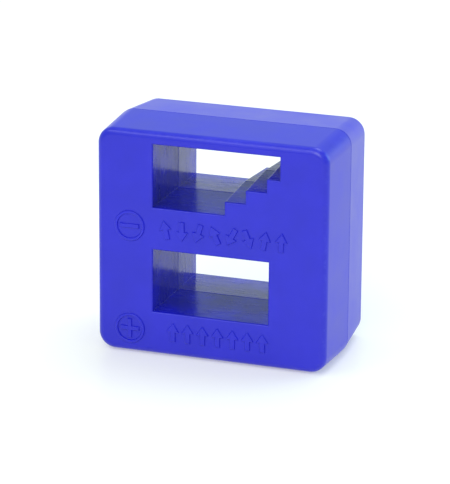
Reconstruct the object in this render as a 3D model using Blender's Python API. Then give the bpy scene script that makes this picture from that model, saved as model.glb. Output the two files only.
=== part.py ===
"""Block magnetizer and demagnetizer for screwdrivers, tweezers and other small steel tools.

Two glued plastic half shells meet at an upright parting plane and hold ferrite slabs and steel
keeper plates beside two tunnels. The lower, plain tunnel magnetizes a tool passed through it. The
upper tunnel has a stepped floor and a weaker, opposed field, and it demagnetizes.

Frame: metres, +Z up, +X to the right, the front face towards -Y, and the origin below the middle of
the block. Run it with: blender --background --python part.py
"""
import math

import bmesh
import bpy
from mathutils import Matrix, Vector

MM = 0.001
GAP = 0.3 * MM  # between any two pieces that touch

# The block. Both halves taper from the parting plane, where the block is widest.
WIDTH = 50.0 * MM
HEIGHT = 48.0 * MM
RELIEF = 0.3 * MM  # how far the marks stand out of the front face
FRONT_Y = -13.2 * MM
PARTING_Y = 0.7 * MM
REAR_Y = 13.5 * MM
FRONT_TAPER = 0.55 * MM  # taken off each side and the top, from the parting plane to the face
REAR_TAPER = 0.9 * MM
FRONT_UNDER_TAPER = 0.36 * MM  # the underside tapers less, so the block stands steadily
REAR_UNDER_TAPER = 0.52 * MM
CORNER_RADIUS = 3.45 * MM
FRONT_EDGE_RADIUS = 1.45 * MM
REAR_EDGE_RADIUS = 0.5 * MM
WALL = 1.8 * MM

# The tunnels, as they are at both faces. They narrow by TUNNEL_DRAFT at the parting plane.
TUNNEL_LEFT = -12.45 * MM
MAGNETIZE_RIGHT = 12.3 * MM
MAGNETIZE_FLOOR = 9.5 * MM
MAGNETIZE_TOP = 22.8 * MM
DEMAGNETIZE_RIGHT = 14.45 * MM
DEMAGNETIZE_FLOOR = 31.7 * MM
DEMAGNETIZE_TOP = 44.95 * MM
STEP_COUNT = 3
FIRST_STEP_X = 2.9 * MM
STEP_RUN = 4.4 * MM
STEP_RISE = 2.8 * MM
TUNNEL_DRAFT = 0.5 * MM
TUNNEL_CORNER_RADIUS = 0.2 * MM
COLLAR_WALL = 1.6 * MM

# The lap joint: a tongue along the rear half's rim sits in a rebate inside the front half's rim.
TONGUE_OUTSIDE = 1.1 * MM  # depth of the tongue's outer side below the block's surface
TONGUE_REACH = 1.0 * MM

# The slabs and plates inside: thickness along X, length along Y, height along Z.
SLAB = (3.0 * MM, 20.0 * MM, 18.0 * MM)
KEEPER = (1.2 * MM, 20.0 * MM, 18.0 * MM)
WEAK_SLAB = (4.0 * MM, 18.0 * MM, 12.0 * MM)
KEEPER_OUTER_X = 22.2 * MM
WEAK_SLAB_X = 18.75 * MM
WEAK_SLAB_Z = 37.5 * MM
RIB = 1.2 * MM

# The pegs of the rear half and the sockets of the front half, as (x, z).
PEG_PLACES = (
    (-18.5 * MM, 37.0 * MM),
    (0.0, 27.3 * MM),
    (-8.0 * MM, 4.85 * MM),
    (8.0 * MM, 4.85 * MM),
)
PEG_RADIUS = 1.0 * MM
PEG_REACH = 3.0 * MM
BOSS_RADIUS = 2.2 * MM

# The raised marks on the front face.
SIGN_X = -17.35 * MM
MINUS_Z = 27.4 * MM
PLUS_Z = 5.45 * MM
RING_RADIUS = 3.15 * MM
STROKE = 0.5 * MM  # the rings' width
SIGN_STROKE = 0.75 * MM
SIGN_LENGTH = 4.0 * MM
ARROW_LENGTH = 3.9 * MM
ARROW_HEAD = 2.5 * MM
ARROW_STROKE = 1.0 * MM
ARROW_TILT = math.radians(28)  # the most that a scattered arrow leans from upright
SCATTERED_ROW = (-9.6 * MM, 15.0 * MM, 27.3 * MM, 8)  # first x, last x, z, count
ALIGNED_ROW = (-8.0 * MM, 11.2 * MM, 5.6 * MM, 7)

OVERRUN = 2.0 * MM  # how far a joined or cutting shape runs past the plane it is trimmed at


def clear_scene():
    for obj in list(bpy.data.objects):
        bpy.data.objects.remove(obj, do_unlink=True)


def new_collection(name):
    collection = bpy.data.collections.new(name)
    bpy.context.scene.collection.children.link(collection)
    return collection


def new_material(name, colour, roughness, metallic=0.0):
    material = bpy.data.materials.new(name)
    material.use_nodes = True
    shader = material.node_tree.nodes["Principled BSDF"]
    shader.inputs["Base Color"].default_value = (*colour, 1.0)
    shader.inputs["Roughness"].default_value = roughness
    shader.inputs["Metallic"].default_value = metallic
    return material


def to_object(name, mesh_builder, collection, material=None):
    """Put a finished bmesh into a named object."""
    bmesh.ops.recalc_face_normals(mesh_builder, faces=mesh_builder.faces)
    mesh = bpy.data.meshes.new(name)
    mesh_builder.to_mesh(mesh)
    mesh_builder.free()
    obj = bpy.data.objects.new(name, mesh)
    collection.objects.link(obj)
    if material:
        mesh.materials.append(material)
    return obj


def tool(name, mesh_builder):
    """A shape that only joins or cuts other shapes."""
    obj = to_object(name, mesh_builder, cutters)
    obj.hide_render = True
    obj.display_type = "WIRE"
    return obj


def combine(target, operand, operation):
    modifier = target.modifiers.new(f"{operation.lower()} {operand.name}", "BOOLEAN")
    modifier.operation = operation
    modifier.object = operand
    modifier.solver = "EXACT"


def box_mesh(low, high):
    mesh_builder = bmesh.new()
    bmesh.ops.create_cube(mesh_builder, size=1.0)
    size = Vector(high) - Vector(low)
    middle = (Vector(high) + Vector(low)) / 2
    bmesh.ops.transform(
        mesh_builder,
        matrix=Matrix.Translation(middle) @ Matrix.Diagonal((*size, 1.0)),
        verts=mesh_builder.verts,
    )
    return mesh_builder


def rod_mesh(radius, x, z, y_start, y_end, segments=32):
    """A round rod along Y."""
    mesh_builder = bmesh.new()
    bmesh.ops.create_cone(
        mesh_builder,
        cap_ends=True,
        segments=segments,
        radius1=radius,
        radius2=radius,
        depth=abs(y_end - y_start),
    )
    turn = Matrix.Rotation(math.radians(90), 4, "X")
    place = Matrix.Translation((x, (y_start + y_end) / 2, z))
    bmesh.ops.transform(mesh_builder, matrix=place @ turn, verts=mesh_builder.verts)
    return mesh_builder


def loft_mesh(outline_at, y_start, y_end):
    """A prism along Y between outline_at(y_start) and outline_at(y_end), lists of (x, z)."""
    mesh_builder = bmesh.new()
    start = [mesh_builder.verts.new((x, y_start, z)) for x, z in outline_at(y_start)]
    end = [mesh_builder.verts.new((x, y_end, z)) for x, z in outline_at(y_end)]
    count = len(start)
    for i in range(count):
        j = (i + 1) % count
        mesh_builder.faces.new((start[i], start[j], end[j], end[i]))
    mesh_builder.faces.new(start)
    mesh_builder.faces.new(end)
    return mesh_builder


def round_edges(mesh_builder, chosen, radius, segments):
    edges = [edge for edge in mesh_builder.edges if chosen(edge)]
    bmesh.ops.bevel(
        mesh_builder,
        geom=edges,
        offset=radius,
        offset_type="OFFSET",
        segments=segments,
        profile=0.5,
        affect="EDGES",
    )


def runs_along_y(edge):
    """True for an edge that joins two different depths."""
    first, second = edge.verts
    return abs(first.co.y - second.co.y) > OVERRUN


def inset(outline, distance):
    """Move each side of a closed outline, given anticlockwise, inwards by a distance."""
    moved = []
    for i, corner in enumerate(outline):
        corner = Vector(corner)
        before = (corner - Vector(outline[i - 1])).normalized()
        after = (Vector(outline[(i + 1) % len(outline)]) - corner).normalized()
        inward = Vector((-before.y, before.x)) + Vector((-after.y, after.x))
        scale = distance / (inward.dot(Vector((-before.y, before.x))))
        moved.append(tuple(corner + inward * scale))
    return moved


class Half:
    """The measures of one half shell, from the parting plane to its face."""

    def __init__(self, name, face_y, taper, under_taper, edge_radius):
        self.name = name
        self.face_y = face_y
        self.taper = taper
        self.under_taper = under_taper
        self.edge_radius = edge_radius
        self.outward = 1.0 if face_y > PARTING_Y else -1.0
        self.depth = abs(face_y - PARTING_Y)

    def share(self, y):
        """0 at the parting plane and 1 at the face."""
        return (y - PARTING_Y) * self.outward / self.depth

    def sides(self, y, wall):
        """The block's outline at a depth, a wall's thickness inside its surface."""
        side = WIDTH / 2 - wall - self.taper * self.share(y)
        top = HEIGHT - wall - self.taper * self.share(y)
        bottom = wall + self.under_taper * self.share(y)
        return [(-side, bottom), (side, bottom), (side, top), (-side, top)]

    def block(self, wall, segments):
        """The drafted block, or the same shape a wall's thickness smaller, run past the parting plane."""
        y_face = self.face_y - self.outward * wall
        y_open = PARTING_Y - self.outward * OVERRUN
        mesh_builder = loft_mesh(lambda y: self.sides(y, wall), y_open, y_face)
        round_edges(mesh_builder, runs_along_y, CORNER_RADIUS - wall, segments)
        edge_radius = self.edge_radius if wall == 0 else self.edge_radius / 2
        at_face = lambda edge: all(abs(vert.co.y - y_face) < MM / 100 for vert in edge.verts)
        round_edges(mesh_builder, at_face, edge_radius, 4 if wall == 0 else 2)
        return mesh_builder

    def tunnel(self, outline, wall, y_start, y_end):
        """A tunnel's space for wall 0, or the collar around it."""
        narrowing = lambda y: TUNNEL_DRAFT * (1 - self.share(y)) - wall
        mesh_builder = loft_mesh(lambda y: inset(outline, narrowing(y)), y_start, y_end)
        round_edges(mesh_builder, runs_along_y, TUNNEL_CORNER_RADIUS, 2)
        return mesh_builder


def magnetize_outline():
    return [
        (TUNNEL_LEFT, MAGNETIZE_FLOOR),
        (MAGNETIZE_RIGHT, MAGNETIZE_FLOOR),
        (MAGNETIZE_RIGHT, MAGNETIZE_TOP),
        (TUNNEL_LEFT, MAGNETIZE_TOP),
    ]


def demagnetize_outline():
    """The stepped opening: each step is STEP_RISE higher than the one to its left."""
    outline = [(TUNNEL_LEFT, DEMAGNETIZE_FLOOR)]
    for step in range(STEP_COUNT):
        x = FIRST_STEP_X + step * STEP_RUN
        outline.append((x, DEMAGNETIZE_FLOOR + step * STEP_RISE))
        outline.append((x, DEMAGNETIZE_FLOOR + (step + 1) * STEP_RISE))
    outline.append((DEMAGNETIZE_RIGHT, DEMAGNETIZE_FLOOR + STEP_COUNT * STEP_RISE))
    outline.append((DEMAGNETIZE_RIGHT, DEMAGNETIZE_TOP))
    outline.append((TUNNEL_LEFT, DEMAGNETIZE_TOP))
    return outline


def stack_height():
    """The lowest and highest z of the slabs beside the lower tunnel."""
    middle = (MAGNETIZE_FLOOR + MAGNETIZE_TOP) / 2
    return middle - SLAB[2] / 2, middle + SLAB[2] / 2


def block_middle_y():
    return (FRONT_Y - RELIEF + REAR_Y) / 2


def rib_boxes(half):
    """The shelves and stops that hold the slabs, as (low, high) in x and z, and how deep they run."""
    low, high = stack_height()
    weak_low = WEAK_SLAB_Z - WEAK_SLAB[2] / 2
    weak_high = WEAK_SLAB_Z + WEAK_SLAB[2] / 2
    outer = WIDTH / 2 - WALL / 2 - half.taper
    collar = -TUNNEL_LEFT + COLLAR_WALL / 2
    weak_outer = WEAK_SLAB_X + WEAK_SLAB[0] / 2 + GAP
    y_full = PARTING_Y - half.outward * OVERRUN
    y_stop = block_middle_y() + half.outward * (SLAB[1] / 2 + GAP)
    y_weak_stop = block_middle_y() + half.outward * (WEAK_SLAB[1] / 2 + GAP)
    boxes = []
    for side in (-1, 1):
        across = sorted((side * collar, side * outer))
        boxes.append((across, (low - GAP - RIB, low - GAP), y_full))
        boxes.append((across, (high + GAP, high + GAP + RIB), y_full))
        for stop_x in (16.0 * MM, 19.5 * MM):
            across = (side * stop_x - RIB / 2, side * stop_x + RIB / 2)
            boxes.append((across, (low - GAP - RIB / 2, high + GAP + RIB / 2), y_stop))
    across = (DEMAGNETIZE_RIGHT + COLLAR_WALL / 2, outer)
    boxes.append((across, (weak_low - GAP - RIB, weak_low - GAP), y_full))
    boxes.append((across, (weak_high + GAP, weak_high + GAP + RIB), y_full))
    boxes.append(((weak_outer, outer), (weak_low + RIB, weak_high - RIB), y_full))
    across = (WEAK_SLAB_X - RIB / 2, WEAK_SLAB_X + RIB / 2)
    boxes.append((across, (weak_low - GAP - RIB / 2, weak_high + GAP + RIB / 2), y_weak_stop))
    return boxes


def add_ribs(housing, half):
    y_root = half.face_y - half.outward * WALL / 2
    for number, (across, upright, y_end) in enumerate(rib_boxes(half)):
        y_low, y_high = sorted((y_root, y_end))
        rib = box_mesh((across[0], y_low, upright[0]), (across[1], y_high, upright[1]))
        combine(housing, tool(f"{half.name}_rib_{number}", rib), "UNION")


def housing_half(half, material):
    """A drafted shell with a collar round each tunnel, open at the parting plane."""
    housing = to_object(half.name, half.block(0.0, 6), parts, material)
    combine(housing, tool(f"{half.name}_hollow", half.block(WALL, 3)), "DIFFERENCE")
    y_root = half.face_y - half.outward * WALL / 2
    y_open = PARTING_Y - half.outward * OVERRUN
    y_outside = half.face_y + half.outward * OVERRUN
    outlines = {"magnetize": magnetize_outline(), "demagnetize": demagnetize_outline()}
    for name, outline in outlines.items():
        collar = half.tunnel(outline, COLLAR_WALL, y_root, y_open)
        combine(housing, tool(f"{half.name}_{name}_collar", collar), "UNION")
    add_ribs(housing, half)
    for number, (x, z) in enumerate(PEG_PLACES):
        boss = rod_mesh(BOSS_RADIUS, x, z, y_root, y_open)
        combine(housing, tool(f"{half.name}_boss_{number}", boss), "UNION")
    for name, outline in outlines.items():
        tunnel = half.tunnel(outline, 0.0, y_outside, y_open - half.outward * OVERRUN)
        combine(housing, tool(f"{half.name}_{name}_tunnel", tunnel), "DIFFERENCE")
    rim_y = PARTING_Y + half.outward * GAP / 2
    far_y = PARTING_Y - half.outward * 3 * OVERRUN
    y_low, y_high = sorted((rim_y, far_y))
    trim = box_mesh((-WIDTH, y_low, -HEIGHT), (WIDTH, y_high, 2 * HEIGHT))
    combine(housing, tool(f"{half.name}_trim", trim), "DIFFERENCE")
    return housing


def rim_ring(name, half, outer_wall, inner_wall, y_start, y_end):
    """A ring that follows the block's outline, between two depths below its surface."""
    ring = loft_mesh(lambda y: half.sides(y, outer_wall), y_start, y_end)
    round_edges(ring, runs_along_y, CORNER_RADIUS - outer_wall, 3)
    hole = loft_mesh(lambda y: half.sides(y, inner_wall), y_start - OVERRUN, y_end + OVERRUN)
    round_edges(hole, runs_along_y, CORNER_RADIUS - inner_wall, 3)
    ring = tool(name, ring)
    combine(ring, tool(f"{name}_hole", hole), "DIFFERENCE")
    return ring


def add_tongue(housing, half):
    y_tip = PARTING_Y - TONGUE_REACH
    tongue = rim_ring("tongue", half, TONGUE_OUTSIDE, WALL, y_tip, PARTING_Y + OVERRUN)
    combine(housing, tongue, "UNION")


def cut_rebate(housing, half):
    y_end = PARTING_Y - TONGUE_REACH - GAP
    rebate = rim_ring("rebate", half, TONGUE_OUTSIDE - GAP, WALL + GAP, y_end, PARTING_Y + OVERRUN)
    combine(housing, rebate, "DIFFERENCE")


def add_pegs(housing):
    for number, (x, z) in enumerate(PEG_PLACES):
        peg = rod_mesh(PEG_RADIUS, x, z, PARTING_Y - PEG_REACH, PARTING_Y + OVERRUN, 24)
        combine(housing, tool(f"peg_{number}", peg), "UNION")


def cut_sockets(housing):
    for number, (x, z) in enumerate(PEG_PLACES):
        socket = rod_mesh(PEG_RADIUS + GAP, x, z, PARTING_Y - PEG_REACH - GAP, PARTING_Y + OVERRUN, 24)
        combine(housing, tool(f"socket_{number}", socket), "DIFFERENCE")


def add_mark(housing, name, outline):
    """Raise a flat mark, with an outline in (x, z), out of the front face."""
    mark = loft_mesh(lambda y: outline, FRONT_Y - RELIEF, FRONT_Y + WALL / 2)
    combine(housing, tool(name, mark), "UNION")


def bar(x, z, length, upright):
    along, across = length / 2, SIGN_STROKE / 2
    if upright:
        along, across = across, along
    return [(x - along, z - across), (x + along, z - across), (x + along, z + across), (x - along, z + across)]


def arrow(x, z, angle):
    """An arrow about its middle, pointing along an angle from +X."""
    head = ARROW_LENGTH / 2 - ARROW_HEAD * 0.75
    points = [
        (-ARROW_LENGTH / 2, -ARROW_STROKE / 2),
        (head, -ARROW_STROKE / 2),
        (head, -ARROW_HEAD / 2),
        (ARROW_LENGTH / 2, 0.0),
        (head, ARROW_HEAD / 2),
        (head, ARROW_STROKE / 2),
        (-ARROW_LENGTH / 2, ARROW_STROKE / 2),
    ]
    cosine, sine = math.cos(angle), math.sin(angle)
    return [(x + u * cosine - v * sine, z + u * sine + v * cosine) for u, v in points]


def row_places(row):
    first, last, z, count = row
    return [(first + (last - first) * i / (count - 1), z) for i in range(count)]


def add_marks(housing):
    """A ringed minus and scattered arrows for demagnetize, a ringed plus and aligned arrows for magnetize."""
    for name, z in (("minus", MINUS_Z), ("plus", PLUS_Z)):
        ring = tool(f"{name}_ring", rod_mesh(RING_RADIUS, SIGN_X, z, FRONT_Y - RELIEF, FRONT_Y + WALL / 2, 48))
        well = rod_mesh(RING_RADIUS - STROKE, SIGN_X, z, FRONT_Y - OVERRUN, FRONT_Y, 48)
        combine(ring, tool(f"{name}_well", well), "DIFFERENCE")
        combine(housing, ring, "UNION")
        add_mark(housing, f"{name}_bar", bar(SIGN_X, z, SIGN_LENGTH, False))
    add_mark(housing, "plus_upright", bar(SIGN_X, PLUS_Z, SIGN_LENGTH, True))
    for number, (x, z) in enumerate(row_places(SCATTERED_ROW)):
        up_or_down = math.copysign(math.pi / 2, math.cos(number * 2.0))
        angle = up_or_down + ARROW_TILT * math.sin(number * 2.6 + 0.5)
        add_mark(housing, f"scattered_arrow_{number}", arrow(x, z, angle))
    for number, (x, z) in enumerate(row_places(ALIGNED_ROW)):
        add_mark(housing, f"aligned_arrow_{number}", arrow(x, z, math.pi / 2))


def slab(name, size, x, z, material):
    """A flat plate with its broad faces towards the tunnels, placed by its middle."""
    mesh_builder = box_mesh([-side / 2 for side in size], [side / 2 for side in size])
    round_edges(mesh_builder, lambda edge: True, 0.25 * MM, 2)
    piece = to_object(name, mesh_builder, parts, material)
    piece.location = (x, block_middle_y(), z)
    return piece


def magnetizing_stacks(ferrite, steel):
    """A keeper plate and two slabs on each side of the lower tunnel."""
    low, high = stack_height()
    z = (low + high) / 2
    keeper_x = KEEPER_OUTER_X - KEEPER[0] / 2
    outer_x = KEEPER_OUTER_X - KEEPER[0] - GAP - SLAB[0] / 2
    inner_x = outer_x - SLAB[0] - GAP
    for side, name in ((-1, "left"), (1, "right")):
        slab(f"{name}_keeper_plate", KEEPER, side * keeper_x, z, steel)
        slab(f"{name}_outer_magnet", SLAB, side * outer_x, z, ferrite)
        slab(f"{name}_inner_magnet", SLAB, side * inner_x, z, ferrite)


clear_scene()
parts = new_collection("demagnetizer")
cutters = new_collection("cutters")
abs_blue = new_material("blue_abs", (0.05, 0.055, 0.62), 0.42)
ferrite_grey = new_material("ferrite", (0.035, 0.035, 0.038), 0.6)
keeper_steel = new_material("steel", (0.45, 0.45, 0.46), 0.35, 1.0)

front = Half("front_housing", FRONT_Y, FRONT_TAPER, FRONT_UNDER_TAPER, FRONT_EDGE_RADIUS)
rear = Half("rear_housing", REAR_Y, REAR_TAPER, REAR_UNDER_TAPER, REAR_EDGE_RADIUS)
front_housing = housing_half(front, abs_blue)
cut_rebate(front_housing, front)
cut_sockets(front_housing)
add_marks(front_housing)
rear_housing = housing_half(rear, abs_blue)
add_tongue(rear_housing, rear)
add_pegs(rear_housing)
magnetizing_stacks(ferrite_grey, keeper_steel)
slab("demagnetizing_magnet", WEAK_SLAB, WEAK_SLAB_X, WEAK_SLAB_Z, ferrite_grey)
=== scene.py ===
"""The looks of a block magnetizer and demagnetizer: two satin blue plastic half shells with tunnels,
steps and raised marks, and the ferrite slabs and steel plates inside them.

Metres, +Z up, the front face towards -Y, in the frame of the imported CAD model.
"""
import math

import bmesh
import bpy
from mathutils import Euler, Matrix, Vector


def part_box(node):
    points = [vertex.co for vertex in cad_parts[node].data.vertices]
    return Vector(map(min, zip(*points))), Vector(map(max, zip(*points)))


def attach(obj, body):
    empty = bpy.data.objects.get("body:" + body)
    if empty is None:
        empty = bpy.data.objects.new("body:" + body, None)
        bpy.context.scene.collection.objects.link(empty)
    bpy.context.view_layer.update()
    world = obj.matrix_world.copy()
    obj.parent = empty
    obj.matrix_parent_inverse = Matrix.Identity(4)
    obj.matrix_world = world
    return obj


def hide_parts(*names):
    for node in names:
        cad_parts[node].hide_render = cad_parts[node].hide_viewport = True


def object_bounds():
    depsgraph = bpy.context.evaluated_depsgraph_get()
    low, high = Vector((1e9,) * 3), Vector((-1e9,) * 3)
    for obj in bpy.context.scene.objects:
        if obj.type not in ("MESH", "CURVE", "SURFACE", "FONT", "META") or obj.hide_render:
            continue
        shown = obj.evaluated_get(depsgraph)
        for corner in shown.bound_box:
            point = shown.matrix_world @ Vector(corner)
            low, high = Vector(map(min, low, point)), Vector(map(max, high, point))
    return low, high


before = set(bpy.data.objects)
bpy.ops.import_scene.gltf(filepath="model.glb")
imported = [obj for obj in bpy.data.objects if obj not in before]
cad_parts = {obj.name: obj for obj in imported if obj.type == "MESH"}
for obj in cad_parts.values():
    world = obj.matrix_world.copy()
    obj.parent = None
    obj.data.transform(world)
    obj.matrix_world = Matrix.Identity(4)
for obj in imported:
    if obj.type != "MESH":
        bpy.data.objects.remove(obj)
cad_low, cad_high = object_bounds()

MM = 0.001

# The block, from the CAD model's own box.
CAD_GAP = 0.3 * MM
RELIEF = 0.3 * MM
WIDTH = cad_high.x - cad_low.x
HEIGHT = cad_high.z
FRONT_Y = cad_low.y + RELIEF
REAR_Y = cad_high.y
PARTING_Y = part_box("front_housing")[1].y + CAD_GAP / 2

# How the halves taper from the parting plane, and how their edges are rounded.
FRONT_TAPER = 0.55 * MM
REAR_TAPER = 0.9 * MM
FRONT_UNDER_TAPER = 0.36 * MM
REAR_UNDER_TAPER = 0.52 * MM
CORNER_RADIUS = 3.45 * MM
FRONT_EDGE_RADIUS = 1.45 * MM
REAR_EDGE_RADIUS = 0.5 * MM
WALL = 1.8 * MM
SEAM = 0.08 * MM  # the visible joint between the halves
SEAM_EDGE_RADIUS = 0.12 * MM

# The tunnels at the faces. They narrow by TUNNEL_DRAFT at the parting plane.
TUNNEL_LEFT = -12.45 * MM
MAGNETIZE_RIGHT = 12.3 * MM
MAGNETIZE_FLOOR = 9.5 * MM
MAGNETIZE_TOP = 22.8 * MM
DEMAGNETIZE_RIGHT = 14.45 * MM
DEMAGNETIZE_FLOOR = 31.7 * MM
DEMAGNETIZE_TOP = 44.95 * MM
STEP_COUNT = 3
FIRST_STEP_X = 2.9 * MM
STEP_RUN = 4.4 * MM
STEP_RISE = 2.8 * MM
TUNNEL_DRAFT = 0.5 * MM
TUNNEL_CORNER_RADIUS = 0.03 * MM
STEP_EDGE_RADIUS = 0.22 * MM
MOUTH_RADIUS = 0.42 * MM
FLARE = 2.2 * MM  # how much wider the cutting shape of a tunnel is, just outside its mouth
FLARE_REACH = 0.25 * MM
COLLAR_WALL = 1.6 * MM

# The lap joint, the pegs and the ribs inside.
TONGUE_OUTSIDE = 1.1 * MM
TONGUE_REACH = 1.0 * MM
PEG_PLACES = ((-18.5 * MM, 37.0 * MM), (0.0, 27.3 * MM), (-8.0 * MM, 4.85 * MM), (8.0 * MM, 4.85 * MM))
PEG_RADIUS = 1.0 * MM
PEG_REACH = 3.0 * MM
BOSS_RADIUS = 2.2 * MM
RIB = 1.2 * MM
STOP_PLACES = (16.0 * MM, 19.5 * MM)  # the end stops of the slabs, either side of the middle

# The raised marks.
SIGN_X = -17.35 * MM
MINUS_Z = 27.4 * MM
PLUS_Z = 5.45 * MM
RING_RADIUS = 3.15 * MM
STROKE = 0.5 * MM  # the rings' width
SIGN_STROKE = 0.75 * MM
SIGN_LENGTH = 4.0 * MM
ARROW_LENGTH = 3.9 * MM
ARROW_HEAD = 2.5 * MM
ARROW_HEAD_LENGTH = ARROW_HEAD * 0.75
ARROW_STROKE = 1.0 * MM
ARROW_TILT = math.radians(28)  # the most that a scattered arrow leans from upright
UPRIGHT_TURN, TILT_TURN, TILT_START = 2.0, 2.6, 0.5  # radians, which scatter the arrows
SCATTERED_ROW = (-9.6 * MM, 15.0 * MM, 27.3 * MM, 8)  # first x, last x, z, count
ALIGNED_ROW = (-8.0 * MM, 11.2 * MM, 5.6 * MM, 7)
MARK_DRAFT = 0.11 * MM
MARK_EDGE_RADIUS = 0.10 * MM

OVERRUN = 2.0 * MM  # how far a joined or cutting shape runs past the plane it is trimmed at
MERGE_DISTANCE = 1e-7
SHARP_ANGLE = math.radians(32)

# How many straight steps each arc has.
CORNER_STEPS = 14
EDGE_STEPS = 8
SEAM_STEPS = 3
HIDDEN_CORNER_STEPS = 5
HIDDEN_EDGE_STEPS = 3
TUNNEL_CORNER_STEPS = 4
MOUTH_STEPS = 6
MARK_CORNER_STEPS = 3
MARK_EDGE_STEPS = 4
RING_STEPS = 96
PEG_STEPS = 48

# The camera stands to the right of the block and above it, with a long lens.
CAMERA_PLACE = Vector((185.34, -540.96, 206.64)) * MM
CAMERA_YAW = math.radians(19.05)
CAMERA_PITCH = math.radians(17.91)
CAMERA_ROLL = math.radians(0.4)
CAMERA_LENS = 217.6
SENSOR_WIDTH = 36.0

# The looks: colours are linear, grain scales are per metre.
BLUE_DARK = (0.009, 0.009, 0.51)
BLUE_LIGHT = (0.012, 0.011, 0.56)
# The tunnel linings: the same blue plastic, darkened as painted shade inside the tunnels, mottled
# between these two
TUNNEL_SHADE_BLUE_DARK = (0.003, 0.003, 0.32)
TUNNEL_SHADE_BLUE_LIGHT = (0.005, 0.005, 0.54)
BLUE_WORN = (0.10, 0.12, 0.75)
MOST_WEAR = 0.15
WEAR_ROUGHNESS = 0.25
MOTTLING_SCALE = 140.0
SCUFF_SCALE = 900.0
GRAIN_SCALE = 5200.0
STREAK_SCALE = 700.0
STREAK_STRETCH = (0.25, 1.0, 0.25)
SATIN_ROUGHNESS = (0.30, 0.36)
POLISHED_ROUGHNESS = (0.06, 0.32)
POLISHED_SPECULAR = 0.34
FERRITE_DARK = (0.022, 0.022, 0.024)
FERRITE_LIGHT = (0.055, 0.054, 0.056)
STEEL_DARK = (0.34, 0.34, 0.35)
STEEL_LIGHT = (0.52, 0.52, 0.53)

# The room, the floor and the soft lights.
ROOM_COLOUR = (0.57, 0.72, 0.65)
FLOOR_COLOUR = (0.65, 0.61, 0.62)
FLOOR_GLOW = 0.34
FLOOR_ROUGHNESS = 0.35
FLOOR_SPECULAR = 0.15
FLOOR_HALF_WIDTH = 3.0
FLOOR_CLEARANCE = 0.02 * MM
SOFTBOXES = (  # name, place, width, height, watts, colour
    ("key", (0.06, -0.48, 0.36), 0.3, 0.3, 1.4, (1.0, 0.98, 0.9)),
    ("right", (0.72, 0.48, 0.33), 0.5, 0.5, 2.5, (0.50, 0.95, 1.0)),
    ("top", (0.12, 0.30, 0.87), 0.5, 0.5, 3.0, (0.87, 0.98, 1.0)),
    ("strip", (-0.41, -0.41, 0.71), 0.6, 0.1, 1.2, (1.0, 1.0, 1.0)),
    ("backdrop", (0.0, 0.9, 0.12), 1.6, 0.22, 0.8, (0.85, 0.78, 1.0)),
)


# ---------------------------------------------------------------- outlines and lofts


def rounded(outline, radius, steps, reflex_radius=None):
    """A closed anticlockwise outline of (x, z) corners with an arc at each corner. Corners that point
    inwards can have a radius of their own."""
    points = []
    for i, corner in enumerate(outline):
        corner = Vector(corner)
        before = (corner - Vector(outline[i - 1])).normalized()
        after = (Vector(outline[(i + 1) % len(outline)]) - corner).normalized()
        turn = math.atan2(before.x * after.y - before.y * after.x, before.dot(after))
        side = math.copysign(1.0, turn)
        arc_radius = reflex_radius if reflex_radius and turn < 0 else radius
        start = corner - before * arc_radius * abs(math.tan(turn / 2))
        centre = start + Vector((-before.y, before.x)) * side * arc_radius
        for step in range(steps + 1):
            spoke = Matrix.Rotation(turn * step / steps, 2) @ (start - centre)
            points.append(tuple(centre + spoke))
    return points


def inset(outline, distance):
    """Move each side of a closed outline, given anticlockwise, inwards by a distance."""
    moved = []
    for i, corner in enumerate(outline):
        corner = Vector(corner)
        before = (corner - Vector(outline[i - 1])).normalized()
        after = (Vector(outline[(i + 1) % len(outline)]) - corner).normalized()
        inward = Vector((-before.y, before.x)) + Vector((-after.y, after.x))
        scale = distance / (inward.dot(Vector((-before.y, before.x))))
        moved.append(tuple(corner + inward * scale))
    return moved


def loft(rings):
    """A closed body through rings of (y, [(x, z), ...]), all with the same number of points."""
    mesh_builder = bmesh.new()
    loops = [[mesh_builder.verts.new((x, y, z)) for x, z in points] for y, points in rings]
    count = len(loops[0])
    for first, second in zip(loops, loops[1:]):
        for i in range(count):
            j = (i + 1) % count
            mesh_builder.faces.new((first[i], first[j], second[j], second[i]))
    mesh_builder.faces.new(loops[0])
    mesh_builder.faces.new(loops[-1])
    return mesh_builder


def quarter(radius, steps):
    """(sideways, along) of a rounded edge, from the side wall to the face, both measured inwards."""
    turns = [math.pi / 2 * step / steps for step in range(steps + 1)]
    return [(radius * (1 - math.cos(turn)), radius * (1 - math.sin(turn))) for turn in turns]


def box_mesh(low, high):
    mesh_builder = bmesh.new()
    bmesh.ops.create_cube(mesh_builder, size=1.0)
    size = Vector(high) - Vector(low)
    middle = (Vector(high) + Vector(low)) / 2
    place = Matrix.Translation(middle) @ Matrix.Diagonal((*size, 1.0))
    bmesh.ops.transform(mesh_builder, matrix=place, verts=mesh_builder.verts)
    return mesh_builder


def circle(radius, x, z, steps):
    turns = [2 * math.pi * step / steps for step in range(steps)]
    return [(x + radius * math.cos(turn), z + radius * math.sin(turn)) for turn in turns]


def rod_mesh(radius, x, z, y_start, y_end):
    outline = circle(radius, x, z, PEG_STEPS)
    return loft([(y_start, outline), (y_end, outline)])


def to_object(name, mesh_builder):
    bmesh.ops.recalc_face_normals(mesh_builder, faces=mesh_builder.faces)
    mesh = bpy.data.meshes.new(name)
    mesh_builder.to_mesh(mesh)
    mesh_builder.free()
    obj = bpy.data.objects.new(name, mesh)
    bpy.context.scene.collection.objects.link(obj)
    return obj


def apply_modifiers(obj):
    """Replace an object's mesh with what its modifiers make of it."""
    graph = bpy.context.evaluated_depsgraph_get()
    mesh = bpy.data.meshes.new_from_object(obj.evaluated_get(graph))
    old = obj.data
    obj.modifiers.clear()
    obj.data = mesh
    bpy.data.meshes.remove(old)


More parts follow.
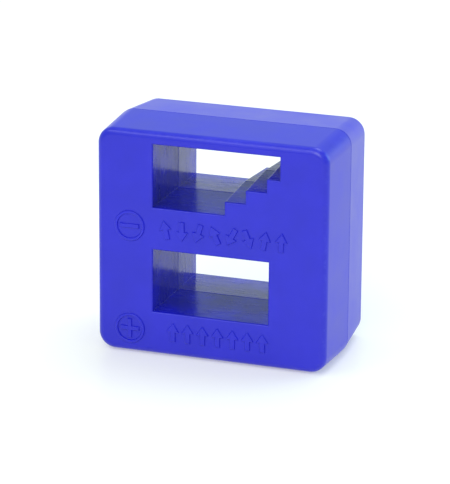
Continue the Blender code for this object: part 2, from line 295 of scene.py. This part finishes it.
def combine(target, mesh_builder, operation):
    """Join a shape to the target, or cut it away, and drop the shape."""
    operand = to_object("operand", mesh_builder)
    modifier = target.modifiers.new("combine", "BOOLEAN")
    modifier.operation = operation
    modifier.object = operand
    modifier.solver = "EXACT"
    apply_modifiers(target)
    bpy.data.objects.remove(operand, do_unlink=True)


# ---------------------------------------------------------------- the half shells


class Half:
    """The measures of one half shell, from the parting plane to its face."""

    def __init__(self, name, face_y, taper, under_taper, edge_radius):
        self.name = name
        self.face_y = face_y
        self.taper = taper
        self.under_taper = under_taper
        self.edge_radius = edge_radius
        self.outward = 1.0 if face_y > PARTING_Y else -1.0
        self.depth = abs(face_y - PARTING_Y)
        self.rim_y = PARTING_Y + self.outward * SEAM / 2

    def share(self, y):
        """0 at the parting plane and 1 at the face."""
        return (y - PARTING_Y) * self.outward / self.depth

    def section(self, y, below, steps=CORNER_STEPS):
        """The block's rounded outline at a depth along Y, some way below its surface."""
        side = WIDTH / 2 - below - self.taper * self.share(y)
        top = HEIGHT - below - self.taper * self.share(y)
        bottom = below + self.under_taper * self.share(y)
        outline = [(-side, bottom), (side, bottom), (side, top), (-side, top)]
        return y, rounded(outline, CORNER_RADIUS - below, steps)

    def block(self):
        """The outer skin, with a small rounding at the seam and a larger one at the face."""
        rings = []
        for sideways, along in reversed(quarter(SEAM_EDGE_RADIUS, SEAM_STEPS)):
            rings.append(self.section(self.rim_y + self.outward * along, sideways))
        for sideways, along in quarter(self.edge_radius, EDGE_STEPS):
            rings.append(self.section(self.face_y - self.outward * along, sideways))
        return loft(rings)

    def hollow(self):
        """The space inside the walls, run past the rim."""
        rings = [self.section(PARTING_Y - self.outward * OVERRUN, WALL, HIDDEN_CORNER_STEPS)]
        for sideways, along in quarter(self.edge_radius / 2, HIDDEN_EDGE_STEPS):
            y = self.face_y - self.outward * (WALL + along)
            rings.append(self.section(y, WALL + sideways, HIDDEN_CORNER_STEPS))
        return loft(rings)

    def tunnel_section(self, outline, y, wider):
        """A tunnel's rounded outline at a depth, made wider all round."""
        narrowing = TUNNEL_DRAFT * (1 - self.share(y)) - wider
        corner = TUNNEL_CORNER_RADIUS + min(max(wider, 0.0), MOUTH_RADIUS) / 2
        return y, rounded(inset(outline, narrowing), corner, TUNNEL_CORNER_STEPS, STEP_EDGE_RADIUS)

    def collar(self, outline):
        y_root = self.face_y - self.outward * WALL / 2
        return loft([self.tunnel_section(outline, y, COLLAR_WALL) for y in (y_root, self.rim_y)])

    def tunnel(self, outline):
        """The space of a tunnel, flared where its edges are rounded at the mouth and at the seam."""
        rings = [self.tunnel_section(outline, PARTING_Y - self.outward * OVERRUN, SEAM_EDGE_RADIUS)]
        for sideways, along in reversed(quarter(SEAM_EDGE_RADIUS, SEAM_STEPS)[:-1]):
            rings.append(self.tunnel_section(outline, self.rim_y + self.outward * along, sideways))
        for sideways, along in quarter(MOUTH_RADIUS, MOUTH_STEPS)[:-1]:
            rings.append(self.tunnel_section(outline, self.face_y - self.outward * along, sideways))
        rings.append(self.tunnel_section(outline, self.face_y + self.outward * FLARE_REACH, FLARE))
        return loft(rings)

    def rim_ring(self, outer, inner, y_start, y_end):
        """A ring that follows the block's outline, between two depths below its surface."""
        steps = HIDDEN_CORNER_STEPS
        ring = to_object("ring", loft([self.section(y, outer, steps) for y in (y_start, y_end)]))
        beyond = (y_start - OVERRUN, y_end + OVERRUN)
        combine(ring, loft([self.section(y, inner, steps) for y in beyond]), "DIFFERENCE")
        mesh_builder = bmesh.new()
        mesh_builder.from_mesh(ring.data)
        bpy.data.objects.remove(ring, do_unlink=True)
        return mesh_builder


def magnetize_outline():
    return [
        (TUNNEL_LEFT, MAGNETIZE_FLOOR),
        (MAGNETIZE_RIGHT, MAGNETIZE_FLOOR),
        (MAGNETIZE_RIGHT, MAGNETIZE_TOP),
        (TUNNEL_LEFT, MAGNETIZE_TOP),
    ]


def demagnetize_outline():
    """The stepped opening: each step is STEP_RISE higher than the one to its left."""
    outline = [(TUNNEL_LEFT, DEMAGNETIZE_FLOOR)]
    for step in range(STEP_COUNT):
        x = FIRST_STEP_X + step * STEP_RUN
        outline.append((x, DEMAGNETIZE_FLOOR + step * STEP_RISE))
        outline.append((x, DEMAGNETIZE_FLOOR + (step + 1) * STEP_RISE))
    outline.append((DEMAGNETIZE_RIGHT, DEMAGNETIZE_FLOOR + STEP_COUNT * STEP_RISE))
    outline.append((DEMAGNETIZE_RIGHT, DEMAGNETIZE_TOP))
    outline.append((TUNNEL_LEFT, DEMAGNETIZE_TOP))
    return outline


def add_ribs(housing, half):
    """Shelves above and below each slab, and stops at their ends, around the CAD slabs' boxes."""
    y_root = half.face_y - half.outward * WALL / 2
    y_full = half.rim_y + half.outward * CAD_GAP / 2
    outer = WIDTH / 2 - WALL / 2 - half.taper
    boxes = []
    for side, slab in ((-1, "left_inner_magnet"), (1, "right_inner_magnet")):
        low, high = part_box(slab)
        shelf = sorted((side * (-TUNNEL_LEFT + COLLAR_WALL / 2), side * outer))
        boxes.append((shelf, (low.z - CAD_GAP - RIB, low.z - CAD_GAP), y_full))
        boxes.append((shelf, (high.z + CAD_GAP, high.z + CAD_GAP + RIB), y_full))
        y_stop = (high.y if half.outward > 0 else low.y) + half.outward * CAD_GAP
        for stop_x in STOP_PLACES:
            across = (side * stop_x - RIB / 2, side * stop_x + RIB / 2)
            boxes.append((across, (low.z - CAD_GAP - RIB / 2, high.z + CAD_GAP + RIB / 2), y_stop))
    low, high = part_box("demagnetizing_magnet")
    shelf = (DEMAGNETIZE_RIGHT + COLLAR_WALL / 2, outer)
    boxes.append((shelf, (low.z - CAD_GAP - RIB, low.z - CAD_GAP), y_full))
    boxes.append((shelf, (high.z + CAD_GAP, high.z + CAD_GAP + RIB), y_full))
    boxes.append(((high.x + CAD_GAP, outer), (low.z + RIB, high.z - RIB), y_full))
    y_stop = (high.y if half.outward > 0 else low.y) + half.outward * CAD_GAP
    middle = (low.x + high.x) / 2
    across = (middle - RIB / 2, middle + RIB / 2)
    boxes.append((across, (low.z - CAD_GAP - RIB / 2, high.z + CAD_GAP + RIB / 2), y_stop))
    for across, upright, y_end in boxes:
        y_low, y_high = sorted((y_root, y_end))
        rib = box_mesh((across[0], y_low, upright[0]), (across[1], y_high, upright[1]))
        combine(housing, rib, "UNION")


def housing_half(half):
    """A drafted shell with a collar round each tunnel, open at the parting plane."""
    housing = to_object(half.name + "_shell", half.block())
    combine(housing, half.hollow(), "DIFFERENCE")
    y_root = half.face_y - half.outward * WALL / 2
    for outline in (magnetize_outline(), demagnetize_outline()):
        combine(housing, half.collar(outline), "UNION")
    add_ribs(housing, half)
    for x, z in PEG_PLACES:
        boss = rod_mesh(BOSS_RADIUS, x, z, y_root, half.rim_y + half.outward * CAD_GAP / 2)
        combine(housing, boss, "UNION")
    for outline in (magnetize_outline(), demagnetize_outline()):
        combine(housing, half.tunnel(outline), "DIFFERENCE")
    return housing


def add_tongue_and_pegs(housing, half):
    y_tip = PARTING_Y - TONGUE_REACH
    tongue = half.rim_ring(TONGUE_OUTSIDE, WALL, y_tip, PARTING_Y + OVERRUN)
    combine(housing, tongue, "UNION")
    for x, z in PEG_PLACES:
        peg = rod_mesh(PEG_RADIUS, x, z, PARTING_Y - PEG_REACH, PARTING_Y + OVERRUN)
        combine(housing, peg, "UNION")


def cut_rebate_and_sockets(housing, half):
    y_end = PARTING_Y - TONGUE_REACH - CAD_GAP
    rebate = half.rim_ring(TONGUE_OUTSIDE - CAD_GAP, WALL + CAD_GAP, y_end, PARTING_Y + OVERRUN)
    combine(housing, rebate, "DIFFERENCE")
    for x, z in PEG_PLACES:
        y_end = PARTING_Y - PEG_REACH - CAD_GAP
        socket = rod_mesh(PEG_RADIUS + CAD_GAP, x, z, y_end, PARTING_Y + OVERRUN)
        combine(housing, socket, "DIFFERENCE")


# ---------------------------------------------------------------- the raised marks


def mark_mesh(outline):
    """A raised flat mark with sloping sides and a softened top edge."""
    foot = rounded(inset(outline, -MARK_DRAFT), MARK_EDGE_RADIUS, MARK_CORNER_STEPS)
    rings = [(FRONT_Y + WALL / 2, foot), (FRONT_Y, foot)]
    for sideways, along in quarter(MARK_EDGE_RADIUS, MARK_EDGE_STEPS):
        crest = rounded(inset(outline, sideways), MARK_EDGE_RADIUS, MARK_CORNER_STEPS)
        rings.append((FRONT_Y - RELIEF + along, crest))
    return loft(rings)


def ring_mesh(x, z):
    """A raised ring: the same cross-section as a mark, turned about an axis along Y."""
    foot = STROKE / 2 + MARK_DRAFT
    edge = quarter(MARK_EDGE_RADIUS, MARK_EDGE_STEPS)
    crest = [(STROKE / 2 - sideways, FRONT_Y - RELIEF + along) for sideways, along in edge]
    profile = [(-foot, FRONT_Y + WALL / 2), (-foot, FRONT_Y)]
    profile += [(-across, y) for across, y in crest] + list(reversed(crest))
    profile += [(foot, FRONT_Y), (foot, FRONT_Y + WALL / 2)]
    mesh_builder = bmesh.new()
    middle = RING_RADIUS - STROKE / 2
    loops = []
    for across, y in profile:
        outline = circle(middle + across, x, z, RING_STEPS)
        loops.append([mesh_builder.verts.new((px, y, pz)) for px, pz in outline])
    for first, second in zip(loops, loops[1:] + loops[:1]):
        for i in range(RING_STEPS):
            j = (i + 1) % RING_STEPS
            mesh_builder.faces.new((first[i], first[j], second[j], second[i]))
    return mesh_builder


def bar(x, z, upright):
    """A stroke of a plus or minus sign."""
    along, across = SIGN_LENGTH / 2, SIGN_STROKE / 2
    if upright:
        along, across = across, along
    corners = ((-along, -across), (along, -across), (along, across), (-along, across))
    return [(x + u, z + v) for u, v in corners]


def arrow(x, z, angle):
    """An arrow about its middle, pointing along an angle from +X."""
    head = ARROW_LENGTH / 2 - ARROW_HEAD_LENGTH
    points = [
        (-ARROW_LENGTH / 2, -ARROW_STROKE / 2),
        (head, -ARROW_STROKE / 2),
        (head, -ARROW_HEAD / 2),
        (ARROW_LENGTH / 2, 0.0),
        (head, ARROW_HEAD / 2),
        (head, ARROW_STROKE / 2),
        (-ARROW_LENGTH / 2, ARROW_STROKE / 2),
    ]
    cosine, sine = math.cos(angle), math.sin(angle)
    return [(x + u * cosine - v * sine, z + u * sine + v * cosine) for u, v in points]


def row_places(row):
    """Evenly spaced (x, z) places along a row."""
    first, last, z, count = row
    return [(first + (last - first) * i / (count - 1), z) for i in range(count)]


def add_marks(housing):
    """A ringed minus and scattered arrows for the weakening tunnel, and a ringed plus and aligned arrows
    for the magnetizing one."""
    for z in (MINUS_Z, PLUS_Z):
        combine(housing, ring_mesh(SIGN_X, z), "UNION")
        combine(housing, mark_mesh(bar(SIGN_X, z, False)), "UNION")
    combine(housing, mark_mesh(bar(SIGN_X, PLUS_Z, True)), "UNION")
    for number, (x, z) in enumerate(row_places(SCATTERED_ROW)):
        up_or_down = math.copysign(math.pi / 2, math.cos(number * UPRIGHT_TURN))
        angle = up_or_down + ARROW_TILT * math.sin(number * TILT_TURN + TILT_START)
        combine(housing, mark_mesh(arrow(x, z, angle)), "UNION")
    for x, z in row_places(ALIGNED_ROW):
        combine(housing, mark_mesh(arrow(x, z, math.pi / 2)), "UNION")


# ---------------------------------------------------------------- materials


def new_material(name):
    """A new material, with its node tree and its shader."""
    material = bpy.data.materials.new(name)
    material.use_nodes = True
    tree = material.node_tree
    return material, tree, tree.nodes["Principled BSDF"]


def noise(tree, coordinates, per_metre, detail=4.0, roughness=0.55):
    node = tree.nodes.new("ShaderNodeTexNoise")
    node.inputs["Scale"].default_value = per_metre
    node.inputs["Detail"].default_value = detail
    node.inputs["Roughness"].default_value = roughness
    tree.links.new(coordinates, node.inputs["Vector"])
    return node.outputs["Fac"]


def remap(tree, value, low, high, to_low, to_high):
    node = tree.nodes.new("ShaderNodeMapRange")
    node.inputs["From Min"].default_value = low
    node.inputs["From Max"].default_value = high
    node.inputs["To Min"].default_value = to_low
    node.inputs["To Max"].default_value = to_high
    tree.links.new(value, node.inputs["Value"])
    return node.outputs["Result"]


def mix_colour(tree, factor, first, second):
    node = tree.nodes.new("ShaderNodeMix")
    node.data_type = "RGBA"
    tree.links.new(factor, node.inputs["Factor"])
    for value, socket in ((first, node.inputs[6]), (second, node.inputs[7])):
        if isinstance(value, tuple):
            socket.default_value = (*value, 1.0)
        else:
            tree.links.new(value, socket)
    return node.outputs[2]


def maths(tree, operation, first, second):
    node = tree.nodes.new("ShaderNodeMath")
    node.operation = operation
    for value, socket in ((first, node.inputs[0]), (second, node.inputs[1])):
        if isinstance(value, float):
            socket.default_value = value
        else:
            tree.links.new(value, socket)
    return node.outputs[0]


def bump(tree, shader, height, strength, distance):
    node = tree.nodes.new("ShaderNodeBump")
    node.inputs["Strength"].default_value = strength
    node.inputs["Distance"].default_value = distance
    tree.links.new(height, node.inputs["Height"])
    tree.links.new(node.outputs["Normal"], shader.inputs["Normal"])


def stretched(tree, place, scale):
    """Coordinates that draw a pattern out into streaks."""
    node = tree.nodes.new("ShaderNodeMapping")
    node.inputs["Scale"].default_value = scale
    tree.links.new(place, node.inputs["Vector"])
    return node.outputs["Vector"]


def wear(tree, place):
    """How worn the surface is: nothing on the flats, and in spots on the rounded edges."""
    normal = tree.nodes.new("ShaderNodeSeparateXYZ")
    geometry = tree.nodes.new("ShaderNodeNewGeometry")
    tree.links.new(geometry.outputs["Normal"], normal.inputs[0])
    sides = [maths(tree, "ABSOLUTE", axis, 0.0) for axis in normal.outputs]
    flatness = maths(tree, "MAXIMUM", maths(tree, "MAXIMUM", sides[0], sides[1]), sides[2])
    edge = remap(tree, flatness, 0.93, 0.75, 0.0, 1.0)
    scuffs = noise(tree, place, SCUFF_SCALE, 6.0, 0.7)
    return maths(tree, "MULTIPLY", edge, remap(tree, scuffs, 0.5, 0.68, 0.0, MOST_WEAR))


def moulded_plastic(name, dark, light, polished):
    """Blue ABS with faint flow mottling, a fine moulded grain and paler worn edges. The tunnels come
    from polished cores, so they are glossier, with streaks up their walls and across their floors.
    The darker blues given for the tunnels are painted shade: the same plastic, darkened inside them."""
    material, tree, shader = new_material(name)
    place = tree.nodes.new("ShaderNodeTexCoord").outputs["Object"]
    mottling = noise(tree, place, MOTTLING_SCALE, 5.0)
    colour = mix_colour(tree, remap(tree, mottling, 0.35, 0.65, 0.0, 1.0), dark, light)
    worn = wear(tree, place)
    tree.links.new(mix_colour(tree, worn, colour, BLUE_WORN), shader.inputs["Base Color"])
    if polished:
        streaks = noise(tree, stretched(tree, place, STREAK_STRETCH), STREAK_SCALE, 5.0, 0.7)
        roughness = remap(tree, streaks, 0.35, 0.65, *POLISHED_ROUGHNESS)
        bump(tree, shader, streaks, 0.65, 0.06 * MM)
        shader.inputs["Specular IOR Level"].default_value = POLISHED_SPECULAR
    else:
        roughness = remap(tree, mottling, 0.3, 0.7, *SATIN_ROUGHNESS)
        bump(tree, shader, noise(tree, place, GRAIN_SCALE, 3.0), 0.12, 0.02 * MM)
    roughness = maths(tree, "ADD", roughness, maths(tree, "MULTIPLY", worn, WEAR_ROUGHNESS))
    tree.links.new(roughness, shader.inputs["Roughness"])
    return material


def ferrite():
    """Sintered ferrite: nearly black, dull, with fine grains and pits."""
    material, tree, shader = new_material("sintered_ferrite")
    place = tree.nodes.new("ShaderNodeTexCoord").outputs["Object"]
    grains = noise(tree, place, 2600.0, 6.0, 0.7)
    colour = mix_colour(tree, grains, FERRITE_DARK, FERRITE_LIGHT)
    tree.links.new(colour, shader.inputs["Base Color"])
    tree.links.new(remap(tree, grains, 0.3, 0.7, 0.5, 0.72), shader.inputs["Roughness"])
    bump(tree, shader, grains, 0.4, 0.05 * MM)
    return material


def rolled_steel():
    """Cold-rolled steel: grey metal with fine streaks along Y."""
    material, tree, shader = new_material("rolled_steel")
    place = tree.nodes.new("ShaderNodeTexCoord").outputs["Object"]
    streaks = noise(tree, stretched(tree, place, (1.0, 0.05, 1.0)), 4000.0)
    colour = mix_colour(tree, streaks, STEEL_DARK, STEEL_LIGHT)
    tree.links.new(colour, shader.inputs["Base Color"])
    tree.links.new(remap(tree, streaks, 0.3, 0.7, 0.28, 0.45), shader.inputs["Roughness"])
    shader.inputs["Metallic"].default_value = 1.0
    bump(tree, shader, streaks, 0.2, 0.02 * MM)
    return material


# ---------------------------------------------------------------- the pieces


def finish_mesh(obj):
    """Clean a joined mesh and shade it smooth up to its real edges."""
    mesh_builder = bmesh.new()
    mesh_builder.from_mesh(obj.data)
    bmesh.ops.remove_doubles(mesh_builder, verts=mesh_builder.verts, dist=MERGE_DISTANCE)
    bmesh.ops.dissolve_degenerate(mesh_builder, edges=mesh_builder.edges, dist=MERGE_DISTANCE)
    mesh_builder.to_mesh(obj.data)
    mesh_builder.free()
    obj.data.shade_smooth()
    obj.data.set_sharp_from_angle(angle=SHARP_ANGLE)
    weighted = obj.modifiers.new("even flats", "WEIGHTED_NORMAL")
    weighted.keep_sharp = True
    weighted.weight = 100


def in_a_tunnel(face):
    """True for a face of a shell that lines one of the tunnels."""
    inside = TUNNEL_LEFT - MM / 2 < face.center.x < DEMAGNETIZE_RIGHT + MM / 2
    level = MAGNETIZE_FLOOR - MM / 2 < face.center.z < DEMAGNETIZE_TOP + MM / 2
    return inside and level and abs(face.normal.y) < 0.2


front = Half("front", FRONT_Y, FRONT_TAPER, FRONT_UNDER_TAPER, FRONT_EDGE_RADIUS)
rear = Half("rear", REAR_Y, REAR_TAPER, REAR_UNDER_TAPER, REAR_EDGE_RADIUS)
front_shell = housing_half(front)
cut_rebate_and_sockets(front_shell, front)
add_marks(front_shell)
rear_shell = housing_half(rear)
add_tongue_and_pegs(rear_shell, rear)

abs_materials = [
    moulded_plastic("satin_blue_abs", BLUE_DARK, BLUE_LIGHT, False),
    # The tunnel linings: glossier, and darker blue as painted shade
    moulded_plastic("polished_blue_abs_painted_shade", TUNNEL_SHADE_BLUE_DARK, TUNNEL_SHADE_BLUE_LIGHT, True),
]
for shell, node in ((front_shell, "front_housing"), (rear_shell, "rear_housing")):
    finish_mesh(shell)
    shell.data.materials.clear()
    for material in abs_materials:
        shell.data.materials.append(material)
    for face in shell.data.polygons:
        face.material_index = int(in_a_tunnel(face))
    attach(shell, "root")
    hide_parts(node)

ferrite_material = ferrite()
steel_material = rolled_steel()
for name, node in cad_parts.items():
    if name.endswith("_magnet"):
        node.material_slots[0].material = ferrite_material
    elif name.endswith("_keeper_plate"):
        node.material_slots[0].material = steel_material


# ---------------------------------------------------------------- floor, light and camera


def softbox(name, place, width, height, watts, colour):
    """A soft light that faces the block."""
    light = bpy.data.lights.new(name, "AREA")
    light.shape = "RECTANGLE"
    light.size = width
    light.size_y = height
    light.energy = watts
    light.color = colour
    lamp = bpy.data.objects.new(name, light)
    lamp.location = place
    aim = Vector((0.0, 0.0, HEIGHT / 2))
    lamp.rotation_euler = (aim - Vector(place)).to_track_quat("-Z", "Y").to_euler()
    bpy.context.scene.collection.objects.link(lamp)


def floor():
    """A plain pale floor with a slight gloss."""
    mesh_builder = bmesh.new()
    bmesh.ops.create_grid(mesh_builder, x_segments=1, y_segments=1, size=FLOOR_HALF_WIDTH)
    plane = to_object("floor", mesh_builder)
    plane.location.z = cad_low.z - FLOOR_CLEARANCE
    material, _, shader = new_material("pale_floor")
    shader.inputs["Base Color"].default_value = (*FLOOR_COLOUR, 1.0)
    shader.inputs["Roughness"].default_value = FLOOR_ROUGHNESS
    shader.inputs["Specular IOR Level"].default_value = FLOOR_SPECULAR
    shader.inputs["Emission Color"].default_value = (1.0, 1.0, 1.0, 1.0)
    shader.inputs["Emission Strength"].default_value = FLOOR_GLOW
    plane.data.materials.append(material)


def pale_room():
    """Even light from all round, slightly green."""
    world = bpy.data.worlds.new("pale_room")
    world.use_nodes = True
    background = world.node_tree.nodes["Background"]
    background.inputs["Color"].default_value = (*ROOM_COLOUR, 1.0)
    background.inputs["Strength"].default_value = 1.0
    bpy.context.scene.world = world


def camera():
    """A long lens that looks down at the block from its front right."""
    lens = bpy.data.cameras.new("camera")
    lens.lens = CAMERA_LENS
    lens.sensor_width = SENSOR_WIDTH
    lens.sensor_fit = "AUTO"
    lens.clip_start = 0.01
    lens.clip_end = 20.0
    viewer = bpy.data.objects.new("camera", lens)
    heading = Euler((math.pi / 2 - CAMERA_PITCH, 0.0, CAMERA_YAW)).to_matrix().to_4x4()
    roll = Matrix.Rotation(CAMERA_ROLL, 4, "Z")
    viewer.matrix_world = Matrix.Translation(CAMERA_PLACE) @ heading @ roll
    bpy.context.scene.collection.objects.link(viewer)
    bpy.context.scene.camera = viewer


floor()
pale_room()
for box in SOFTBOXES:
    softbox(*box)
camera()
bpy.context.scene.view_settings.view_transform = "Standard"
